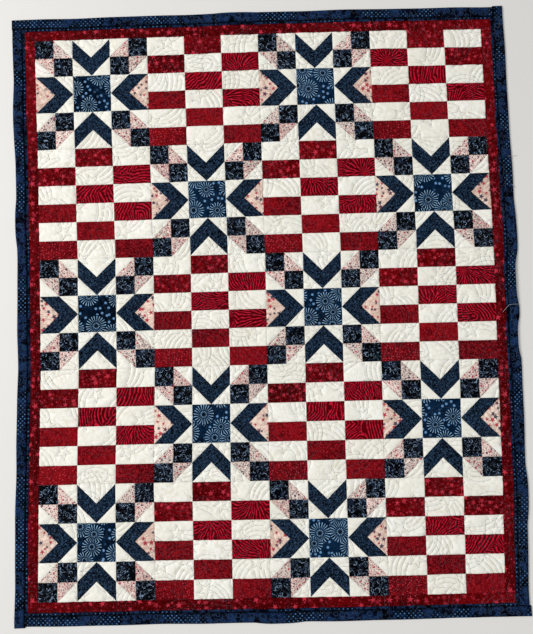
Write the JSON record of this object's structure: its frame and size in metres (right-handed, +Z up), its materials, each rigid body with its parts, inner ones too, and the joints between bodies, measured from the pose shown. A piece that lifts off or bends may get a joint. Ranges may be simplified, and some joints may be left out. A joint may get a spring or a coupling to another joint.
{
  "type": "pieced quilt",
  "caption": "Lap quilt lying flat, pieced from star blocks and stripe blocks, with a red inner border, a navy border and a wide lapped binding.",
  "frame": {"origin": "below the middle of the quilt's box, on the surface it lies on", "axes": "+X across the quilt to the right, +Y along it towards its top edge, +Z up out of the patchwork"},
  "size_m": [1.3536, 1.6328, 0.0065],
  "materials": {
    "star_block_cloth": "matt printed cotton, cream, navy, blush and mid blue patches",
    "stripe_block_cloth": "matt printed cotton, red and cream bars",
    "red_border_cloth": "matt printed cotton, deep red with paler stars",
    "navy_border_cloth": "matt printed cotton, navy with small light blue dots",
    "binding_cloth": "matt printed cotton, navy with small light blue dots, folded double"
  },
  "bodies": {
    "root": {"binding_bottom": "binding_cloth", "binding_left": "binding_cloth", "binding_right": "binding_cloth", "binding_top": "binding_cloth", "navy_border_bottom": "navy_border_cloth", "navy_border_left": "navy_border_cloth", "navy_border_right": "navy_border_cloth", "navy_border_top": "navy_border_cloth", "red_border_bottom": "red_border_cloth", "red_border_left": "red_border_cloth", "red_border_right": "red_border_cloth", "red_border_top": "red_border_cloth", "star_block_c1_r1": "star_block_cloth", "star_block_c1_r3": "star_block_cloth", "star_block_c1_r5": "star_block_cloth", "star_block_c2_r2": "star_block_cloth", "star_block_c2_r4": "star_block_cloth", "star_block_c3_r1": "star_block_cloth", "star_block_c3_r3": "star_block_cloth", "star_block_c3_r5": "star_block_cloth", "star_block_c4_r2": "star_block_cloth", "star_block_c4_r4": "star_block_cloth", "stripe_block_c1_r2": "stripe_block_cloth", "stripe_block_c1_r4": "stripe_block_cloth", "stripe_block_c2_r1": "stripe_block_cloth", "stripe_block_c2_r3": "stripe_block_cloth", "stripe_block_c2_r5": "stripe_block_cloth", "stripe_block_c3_r2": "stripe_block_cloth", "stripe_block_c3_r4": "stripe_block_cloth", "stripe_block_c4_r1": "stripe_block_cloth", "stripe_block_c4_r3": "stripe_block_cloth", "stripe_block_c4_r5": "stripe_block_cloth"}
  },
  "joints": []
}
